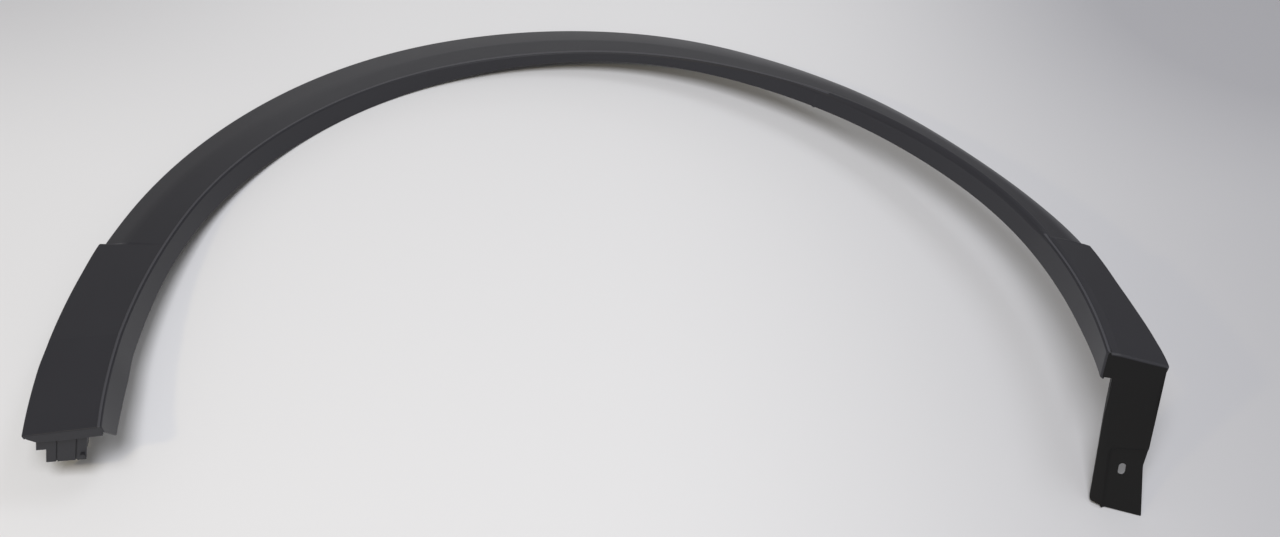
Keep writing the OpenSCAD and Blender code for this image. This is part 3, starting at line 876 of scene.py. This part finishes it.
def spread(points, gap):
    """The same line with points no further apart than gap."""
    out = [points[0]]
    for a, b in zip(points[:-1], points[1:]):
        count = max(1, math.ceil(math.dist(a, b) / gap))
        for i in range(1, count + 1):
            out.append((a[0] + (b[0] - a[0]) * i / count, a[1] + (b[1] - a[1]) * i / count))
    return thinned(out)


def slot_outline(shape, count=16):
    """The slot hole's edge as (x, depth) points."""
    e = shape.ends
    r, half = e.slot_w / 2, (e.slot_l - e.slot_w) / 2 * math.cos(e.lean_foot)
    points = []
    for centre, start in ((e.slot_z + half, 0.0), (e.slot_z - half, math.pi)):
        for i in range(count + 1):
            a = start + math.pi * i / count
            points.append((e.slot_x + r * math.cos(a), centre + r * math.sin(a)))
    return points


def is_inside(point, outline):
    x, y = point
    inside = False
    for (x0, y0), (x1, y1) in zip(outline, outline[1:] + outline[:1]):
        if (y0 > y) != (y1 > y) and x < (x1 - x0) * (y - y0) / (y1 - y0) + x0:
            inside = not inside
    return inside


def edge_gap(point, outline):
    """Distance from a point to the nearest point of an outline."""
    return min(math.dist(point, q) for q in outline)


def sheet_over(outline, hole, grid):
    """Triangles over an outline with a hole in it, with a grid of points inside."""
    xs = [p[0] for p in outline]
    zs = [p[1] for p in outline]
    inner = []
    columns = int((max(xs) - min(xs)) / grid)
    rows = int((max(zs) - min(zs)) / grid)
    for i in range(columns + 1):
        for j in range(rows + 1):
            p = (min(xs) + (i + 0.5 * (j % 2)) * grid, min(zs) + j * grid)
            if not is_inside(p, outline) or is_inside(p, hole):
                continue
            if edge_gap(p, outline) > 0.6 * grid and edge_gap(p, hole) > 0.6 * grid:
                inner.append(p)
    loops = [outline, hole]
    points = [Vector(p) for loop in loops for p in loop] + [Vector(p) for p in inner]
    edges = []
    base = 0
    for loop in loops:
        edges += [(base + i, base + (i + 1) % len(loop)) for i in range(len(loop))]
        base += len(loop)
    found = delaunay_2d_cdt(points, edges, [], 0, 1e-5)
    verts = [(v.x, v.y) for v in found[0]]
    faces = []
    for f in found[2]:
        centre = (sum(verts[i][0] for i in f) / 3, sum(verts[i][1] for i in f) / 3)
        if is_inside(centre, outline) and not is_inside(centre, hole):
            faces.append(list(f))
    return verts, faces


def thick_sheet(parts, verts, faces, front, back):
    """A closed solid between two placings of the same flat triangles."""
    area = sum(
        (verts[b][0] - verts[a][0]) * (verts[c][1] - verts[a][1])
        - (verts[c][0] - verts[a][0]) * (verts[b][1] - verts[a][1])
        for a, b, c in faces
    )
    if area < 0:
        faces = [f[::-1] for f in faces]
    n = len(verts)
    skin = [list(f) for f in faces] + [[n + i for i in reversed(f)] for f in faces]
    directed = {(f[i], f[(i + 1) % 3]) for f in faces for i in range(3)}
    for a, b in directed:
        if (b, a) not in directed:
            skin.append([b, a, n + a, n + b])
    parts.add([front(*v) for v in verts] + [back(*v) for v in verts], skin)


def wall_behind(parts, shape, x, width, depths, near, height):
    """A wall on the panel's back at x: near and height give where it starts and its height at a depth."""
    place = end_placer(shape, 0)
    rings = []
    for depth in depths:
        y0 = near(depth) - panel_out(shape, depth)
        y1 = y0 + height(depth)
        corners = [(x, y0), (x + width, y0), (x + width, y1), (x, y1)]
        rings.append([place(a, b, -depth) for a, b in corners])
    parts.loft(rings)


class TRIM_OT_strip(bpy.types.Operator):
    """Build the strip: face, bead, groove, return flange and rim"""

    bl_idname = "arch_trim.strip"
    bl_label = "Arch strip"

    def execute(self, context):
        shape = arch_shape(context)
        rings = [[shape.at(s, u, z) for u, z in shape.ring(s)] for s in strip_places(shape)]
        right = rolled(shape, ROLL_RIGHT, 0)[::-1]
        left = rolled(shape, ROLL_LEFT, shape.length)
        parts = Parts()
        parts.loft(right + rings + left)
        # The bead's crest: the faces between its two top corners, where the bead shows. They take a lighter
        # colour, a painted highlight along the bead.
        places = [0.0] * len(right) + strip_places(shape) + [shape.length] * len(left)
        count = len(rings[0])
        crest = [0] * len(parts.faces)
        for i in range(len(places) - 1):
            if shape.bead_share(places[i]) > 0.5:
                for j in range(CREST_FROM, CREST_TO):
                    crest[i * count + j] = 1
        strip = make_piece("arch_strip", parts, shape, charcoal_plastic(context))
        strip.data.materials.append(crest_highlight_plastic(context))
        strip.data.polygons.foreach_set("material_index", crest)
        return {"FINISHED"}


class TRIM_OT_panel(bpy.types.Operator):
    """Build the end wall and the mounting panel with its recess and slot"""

    bl_idname = "arch_trim.panel"
    bl_label = "Mounting panel"

    def execute(self, context):
        shape = arch_shape(context)
        e = shape.ends
        place = end_placer(shape, 0)
        verts, faces = sheet_over(panel_outline(shape), slot_outline(shape), SHEET_GRID)

        def back_of(x, depth):
            return recess_depth(shape, x, depth) + inner_roll(shape, x, depth) - panel_out(shape, depth)

        parts = Parts()
        thick_sheet(
            parts,
            verts,
            faces,
            lambda x, depth: place(x, back_of(x, depth) - JOINT_GAP, -depth),
            lambda x, depth: place(x, back_of(x, depth) + e.panel_t, -depth),
        )
        side_x = e.panel_from + 1
        wall_behind(
            parts,
            shape,
            side_x,
            SIDE_T,
            np.linspace(SHELF_DEPTH + 1.1, e.panel_h - 1, 24),
            lambda depth: inner_roll(shape, side_x, depth) + e.panel_t / 2,
            lambda depth: e.side_d,
        )
        # The gusset under the face tapers down the panel's back
        wall_behind(
            parts,
            shape,
            e.panel_to - GUSSET_IN,
            e.rib_t,
            np.linspace(shape.sec.fall_right_leg + 0.5, GUSSET_TO, 14),
            lambda depth: SUNK,
            lambda depth: GUSSET_W * (1 - 0.85 * ease((depth - GUSSET_FROM) / GUSSET_RUN)),
        )
        # The panel takes the darker plastic, whose colour is painted shade.
        make_piece("mounting_panel", parts, shape, shaded_panel_plastic(context), 0.3)
        return {"FINISHED"}


class TRIM_OT_tongue(bpy.types.Operator):
    """Build the wall that closes the left end and the scored tongue behind it"""

    bl_idname = "arch_trim.tongue"
    bl_label = "End tongue"

    def execute(self, context):
        shape = arch_shape(context)
        e, c = shape.ends, shape.sec
        end = shape.length
        place = end_placer(shape, end)
        w, knee, kf = shape.face_w(end), shape.knee_at(end), shape.knee_fall(end)
        parts = Parts()
        outline = [(u, shape.face_z(end, u) - ROLL_LEFT - 0.1) for u in np.linspace(WALL_IN, w - 1.4, 14)]
        outline += [(w - 1.0, -c.fall_left_leg - 2.5), (w - 2.6, -c.fall_left_leg - e.end_wall_h + 5.6)]
        outline += [(w - 8, -c.fall_left_leg - e.end_wall_h + 2), (knee, -kf - e.end_wall_h)]
        outline.append((WALL_IN, -e.end_wall_h - 0.4))
        parts.prism(outline[::-1], place, -c.wall, 0.03, "y")
        back, front = -e.tongue_back - e.tongue_t, -e.tongue_back

        def leaning(x0, x1, foot, top=None):
            """Outline of a strip that leans outward, from inside the wall of the face if no top is given."""
            tops = [top or c.wall / 2 + c.fall_left_leg * x / w for x in (x0, x1)]
            corners = [(x0, foot), (x1, foot), (x1, tops[1]), (x0, tops[0])]
            return [(x + e.tongue_lean * depth, -depth) for x, depth in corners]

        # The score lines part the tongue's front into three raised fields
        half = e.score_w / 2
        parts.prism(leaning(e.tongue_from, e.tongue_to, e.tongue_h), place, back, front - SCORE_DEPTH, "y")
        fields = [
            (e.tongue_from, e.second_score_at - half, e.tongue_h),
            (e.second_score_at + half, e.score_at - half, e.tongue_h),
            (e.score_at + half, e.tongue_to, e.tongue_h),
            (e.tongue_to - 0.2, e.tab_to, e.tab_h),
        ]
        for x0, x1, foot in fields:
            parts.prism(leaning(x0, x1, foot), place, front - SCORE_DEPTH - 0.3, front, "y")
        parts.prism(leaning(e.tongue_to - 1, e.tab_to, e.tab_h), place, back, front - SCORE_DEPTH, "y")
        nose_from, nose_to = e.tongue_from + NOSE_FROM, e.tongue_from + NOSE_TO
        nose = leaning(nose_from, nose_to, e.tongue_h - NOSE_UP, e.tongue_h - NOSE_TOP)
        parts.prism(nose, place, front - 0.2, front + NOSE_OUT, "y")
        for x in (e.tongue_from + 0.6, e.score_at + 2, e.tongue_to - 1 - e.rib_t):
            stay = leaning(x, x + e.rib_t, e.tongue_h - STAY_UP)
            parts.prism(stay, place, back - STAY_BACK, back + FUSED, "y")
        bar = leaning(e.tongue_from + 1, e.tongue_to + 2, e.end_wall_h - 1.5)
        parts.prism(bar, place, front - FUSED, -c.wall + FUSED, "y")
        make_piece("end_tongue", parts, shape, charcoal_plastic(context), SOFT_EDGE)
        return {"FINISHED"}


def seat_places(shape):
    """Places of the clip seats, evenly spaced along the crease."""
    e = shape.ends
    span = shape.length - FIRST_SEAT - LAST_SEAT
    return [FIRST_SEAT + span * i / (e.seat_count - 1) for i in range(e.seat_count)]


def seat_depth(shape, s):
    """Depth of a seat's floor under the crease."""
    return SEAT_SHARE * shape.flange_h(s) + SEAT_UNDER


class TRIM_OT_clip_seats(bpy.types.Operator):
    """Build the clip seats on the hidden side, pockets with a keyhole in the floor"""

    bl_idname = "arch_trim.clip_seats"
    bl_label = "Clip seats"

    def execute(self, context):
        shape = arch_shape(context)
        e = shape.ends
        parts = Parts()
        for s in seat_places(shape):
            place = end_placer(shape, s)
            z0 = -seat_depth(shape, s)
            x0, x1, half, t = e.seat_from, e.seat_from + e.seat_w, e.seat_l / 2, e.seat_t
            middle = (x0 + x1) / 2
            neck = e.seat_neck / 2
            mouth = math.asin(neck / e.seat_hole_r)
            hole = [mouth + (2 * math.pi - 2 * mouth) * i / 28 for i in range(29)]
            keyhole = [(middle + e.seat_hole_r * math.cos(a), e.seat_hole_r * math.sin(a)) for a in hole]
            floor = [(x1, -neck), (x1, -half), (x0, -half), (x0, half), (x1, half), (x1, neck)] + keyhole
            parts.prism(floor, place, z0, z0 + t, "z")
            for y0 in (-half, half - t):
                top = [(u, shape.face_z(s, u) - SUNK) for u in np.linspace(x1, x0, 6)]
                parts.prism([(x0, z0 + LAP), (x1, z0 + LAP)] + top, place, y0, y0 + t, "y")
            wall_top = shape.face_z(s, x0 + t) - SUNK
            wall = [(x0, z0 + LAP), (x0 + t, z0 + LAP), (x0 + t, wall_top), (x0, wall_top)]
            parts.prism(wall, place, -half, half, "y")
        make_piece("clip_seats", parts, shape, charcoal_plastic(context), SOFT_EDGE)
        return {"FINISHED"}


class TRIM_OT_ribs(bpy.types.Operator):
    """Build the thin cross ribs between the flange and the rim"""

    bl_idname = "arch_trim.ribs"
    bl_label = "Cross ribs"

    def execute(self, context):
        shape = arch_shape(context)
        seats = seat_places(shape)
        places = [(a + b) / 2 for a, b in zip(seats[:-1], seats[1:])] + [shape.length - LAST_RIB]
        parts = Parts()
        half = shape.ends.rib_t / 2
        for s in places:
            w, h, wall = shape.face_w(s), shape.flange_h(s), shape.sec.wall
            draft = shape.flange_lean(s)
            top = [(u, shape.face_z(s, u) - SUNK) for u in np.linspace(w - wall + 0.6, 4, 9)]
            low = [(-draft + 1.4, -h + 4), (4, -h + 5)]
            low.append((w - wall + 0.6, -shape.edge_fall(s) - shape.sec.rim_h + 0.6))
            parts.prism(low + top + [(1.6, -3.0)], end_placer(shape, s), -half, half, "y")
        make_piece("cross_ribs", parts, shape, charcoal_plastic(context), 0.2)
        return {"FINISHED"}


class Shade:
    """A shader socket that can be used in Python expressions."""

    def __init__(self, tree, socket):
        self.tree, self.socket = tree, socket

    def _math(self, operation, a, b):
        return self.tree.node("ShaderNodeMath", {"operation": operation}, {0: a, 1: b}).out(0)

    def __add__(self, other):
        return self._math("ADD", self, other)

    __radd__ = __add__

    def __mul__(self, other):
        return self._math("MULTIPLY", self, other)

    __rmul__ = __mul__


class Placed:
    """A node that has been set up, with its outputs at hand."""

    def __init__(self, tree, node):
        self.tree, self.node = tree, node

    def out(self, key):
        return Shade(self.tree, self.node.outputs[key])


class ShaderTree:
    """A material's node tree."""

    def __init__(self, name):
        self.material = bpy.data.materials.new(name)
        self.material.use_nodes = True
        self.nodes = self.material.node_tree.nodes
        self.links = self.material.node_tree.links
        self.nodes.clear()

    def node(self, kind, settings=None, inputs=None):
        """Adds a node of a kind with its settings, then sets or links its sockets."""
        made = self.nodes.new(kind)
        for key, value in (settings or {}).items():
            setattr(made, key, value)
        for key, value in (inputs or {}).items():
            if isinstance(value, Shade):
                self.links.new(value.socket, made.inputs[key])
            else:
                made.inputs[key].default_value = value
        return Placed(self, made)

    def rise(self, value, reach):
        """Soft step from 0 to 1 while the value goes through the reach."""
        low, high = reach
        return self.node(
            "ShaderNodeMapRange",
            {"interpolation_type": "SMOOTHSTEP"},
            {"Value": value, "From Min": low, "From Max": high},
        ).out(0)

    def finish(self, shader):
        self.node("ShaderNodeOutputMaterial", {}, {"Surface": shader})
        return self.material


def charcoal_plastic(context):
    """Satin show face of the moulding, charcoal with a fine grain."""
    looks = context.scene.arch_looks
    return grained_plastic("Charcoal grained plastic", looks.plastic, looks.roughness, looks.shine, looks)


def crest_highlight_plastic(context):
    """The bead's crest in a little lighter colour than the face beside it, a painted highlight."""
    looks = context.scene.arch_looks
    return grained_plastic("Crest plastic with painted highlight", looks.crest, looks.roughness, looks.shine, looks)


def shaded_panel_plastic(context):
    """The mounting panel's plainer and duller finish, with its colour darker than the strip's as painted shade
    for the shade its front lies in.
    """
    looks = context.scene.arch_looks
    return grained_plastic("Dull panel plastic with painted shade", looks.panel, looks.panel_roughness, 0.2, looks)


def grained_plastic(name, tint, roughness, shine, looks):
    """Moulded plastic with a fine satin grain and a faint unevenness of its sheen."""
    if name in bpy.data.materials:
        return bpy.data.materials[name]
    tree = ShaderTree(name)
    where = tree.node("ShaderNodeTexCoord").out("Object")
    grain_scale = 1 / looks.grain_mm
    grain = tree.node(
        "ShaderNodeTexVoronoi",
        {"feature": "SMOOTH_F1"},
        {"Vector": where, "Scale": grain_scale, "Smoothness": 0.6, "Randomness": 1.0},
    ).out("Distance")
    fine = tree.node(
        "ShaderNodeTexNoise", {}, {"Vector": where, "Scale": grain_scale * 2.3, "Detail": 2.0}
    ).out("Fac")
    cloud = tree.node(
        "ShaderNodeTexNoise", {}, {"Vector": where, "Scale": 22.0, "Detail": 3.0, "Roughness": 0.55}
    ).out("Fac")
    tone = tree.node(
        "ShaderNodeMix",
        {"data_type": "RGBA"},
        {
            "Factor": 0.35 * cloud + 0.65 * fine,
            "A": [v * 0.86 for v in tint] + [1],
            "B": [v * 1.14 for v in tint] + [1],
        },
    ).out("Result")
    height = 0.6 * grain + 0.4 * fine
    bump = tree.node(
        "ShaderNodeBump", {}, {"Strength": 0.22, "Distance": looks.grain_mm * 0.12, "Height": height}
    ).out("Normal")
    shader = tree.node(
        "ShaderNodeBsdfPrincipled",
        {},
        {
            "Base Color": tone,
            "Roughness": roughness - 0.04 + 0.08 * cloud,
            "IOR": 1.5,
            "Specular IOR Level": shine,
            "Normal": bump,
        },
    )
    return tree.finish(shader.out("BSDF"))


def floor_paint(context):
    """Matt pale floor, with painted shade for the lamps' falloff that greys it toward its right side and its
    far corners.
    """
    looks = context.scene.arch_looks
    tree = ShaderTree("Pale studio floor")
    where = tree.node("ShaderNodeTexCoord").out("Object")
    parts = tree.node("ShaderNodeSeparateXYZ", {}, {"Vector": where})
    across = parts.out("X")
    aside = tree.node("ShaderNodeMath", {"operation": "ABSOLUTE"}, {0: across}).out(0)
    # Painted shade: the floor's colour fades to the darker one where the lamps' light falls off.
    right = tree.rise(across, FALLOFF_RIGHT)
    corner = tree.rise(aside, FALLOFF_SIDE) * tree.rise(parts.out("Y"), FALLOFF_FAR)
    paint = tree.node(
        "ShaderNodeMix",
        {"data_type": "RGBA", "clamp_factor": True},
        {"Factor": 0.75 * right + 0.5 * corner, "A": [*looks.floor, 1], "B": [*looks.floor_falloff_shade, 1]},
    ).out("Result")
    shader = tree.node(
        "ShaderNodeBsdfPrincipled",
        {},
        {"Base Color": paint, "Roughness": 0.9, "Specular IOR Level": 0.2},
    )
    return tree.finish(shader.out("BSDF"))


FLOOR_HALF = 6.0
# Where the painted shade of the lamps' falloff greys the floor, in metres: from the middle to the right, to
# either side and to the back
FALLOFF_RIGHT = (0.0, 0.75)
FALLOFF_SIDE = (0.2, 0.7)
FALLOFF_FAR = (0.05, 0.4)

# Where the camera stands and how it is turned, in metres and degrees, and the lens that gives its view
CAMERA_AT = (0.02222, -0.84713, 1.00579)
CAMERA_PITCH = 51.04
CAMERA_HEADING = 1.081
CAMERA_ROLL = 2.631
LENS_MM = 39.375
SENSOR_MM = 36.0


def lamp(name, at, aim, size, power, tint):
    """A soft lamp, size wide and high, at a point and turned to its aim."""
    data = bpy.data.lights.new(name, "AREA")
    data.shape = "RECTANGLE"
    data.size, data.size_y = size
    data.energy = power
    data.color = tint
    made = bpy.data.objects.new(name, data)
    made.location = at
    made.rotation_euler = (Vector(aim) - Vector(at)).to_track_quat("-Z", "Y").to_euler()
    bpy.context.scene.collection.objects.link(made)
    return made


class TRIM_OT_stage(bpy.types.Operator):
    """Build the pale floor, the soft lamps and the camera"""

    bl_idname = "arch_trim.stage"
    bl_label = "Studio"

    def execute(self, context):
        scene = context.scene
        looks = scene.arch_looks
        mesh = bpy.data.meshes.new("studio_floor")
        signs = [(-1, -1), (1, -1), (1, 1), (-1, 1)]
        mesh.from_pydata([(a * FLOOR_HALF, b * FLOOR_HALF, 0) for a, b in signs], [], [(0, 1, 2, 3)])
        mesh.materials.append(floor_paint(context))
        floor = bpy.data.objects.new("studio_floor", mesh)
        scene.collection.objects.link(floor)
        lamp("Main lamp", (-0.15, -0.95, 2.4), (0, 0, 0), (1.0, 1.0), looks.main_lamp, (0.97, 0.98, 1.0))
        lamp("Side lamp", (0.75, 0.5, 1.9), (0.1, 0, 0), (0.6, 0.6), looks.side_lamp, (0.93, 0.96, 1.0))
        lamp("Back wall", (0.0, 2.3, 0.75), (0, 0, 0), (2.8, 1.1), looks.back_wall, (0.97, 0.98, 1.0))
        lamp("Left lamp", (-0.95, -0.94, 1.3), (-0.2, 0, 0), (0.1, 0.1), looks.left_lamp, (1.0, 0.84, 0.45))
        world = bpy.data.worlds.new("Room")
        world.use_nodes = True
        sky = world.node_tree.nodes["Background"]
        sky.inputs["Color"].default_value = (1.0, 0.97, 0.91, 1)
        sky.inputs["Strength"].default_value = looks.room
        scene.world = world
        data = bpy.data.cameras.new("Camera")
        data.lens, data.sensor_width = LENS_MM, SENSOR_MM
        data.clip_start, data.clip_end = 0.01, 50
        camera = bpy.data.objects.new("Camera", data)
        look = (
            Matrix.Rotation(-math.radians(CAMERA_HEADING), 4, "Z")
            @ Matrix.Rotation(math.radians(90 - CAMERA_PITCH), 4, "X")
            @ Matrix.Rotation(math.radians(CAMERA_ROLL), 4, "Z")
        )
        camera.matrix_world = Matrix.Translation(CAMERA_AT) @ look
        scene.collection.objects.link(camera)
        scene.camera = camera
        scene.view_settings.view_transform = "Standard"
        return {"FINISHED"}


class TRIM_PT_sidebar(bpy.types.Panel):
    """Lists the pieces that can be built"""

    bl_idname = "TRIM_PT_sidebar"
    bl_label = "Arch trim"
    bl_space_type = "VIEW_3D"
    bl_region_type = "UI"
    bl_category = "Arch trim"

    def draw(self, context):
        for operator in OPERATORS:
            self.layout.operator(operator.bl_idname)
        for group in GROUPS:
            box = self.layout.box()
            owner = getattr(context.scene, group)
            for prop in owner.bl_rna.properties:
                if prop.identifier not in ("rna_type", "name"):
                    box.prop(owner, prop.identifier)


GROUPS = {
    "arch_line": ArchLineSizes,
    "arch_section": SectionSizes,
    "arch_ends": EndSizes,
    "arch_looks": FinishLooks,
}
OPERATORS = (TRIM_OT_strip, TRIM_OT_panel, TRIM_OT_tongue, TRIM_OT_clip_seats, TRIM_OT_ribs, TRIM_OT_stage)


def register():
    for cls in (*GROUPS.values(), *OPERATORS, TRIM_PT_sidebar):
        bpy.utils.register_class(cls)
    for name, cls in GROUPS.items():
        setattr(bpy.types.Scene, name, PointerProperty(type=cls))


def unregister():
    for name in GROUPS:
        delattr(bpy.types.Scene, name)
    for cls in reversed((*GROUPS.values(), *OPERATORS, TRIM_PT_sidebar)):
        bpy.utils.unregister_class(cls)


def main():
    register()
    bpy.ops.arch_trim.strip()
    bpy.ops.arch_trim.panel()
    bpy.ops.arch_trim.tongue()
    bpy.ops.arch_trim.clip_seats()
    bpy.ops.arch_trim.ribs()
    bpy.ops.arch_trim.stage()


if __name__ == "__main__":
    main()
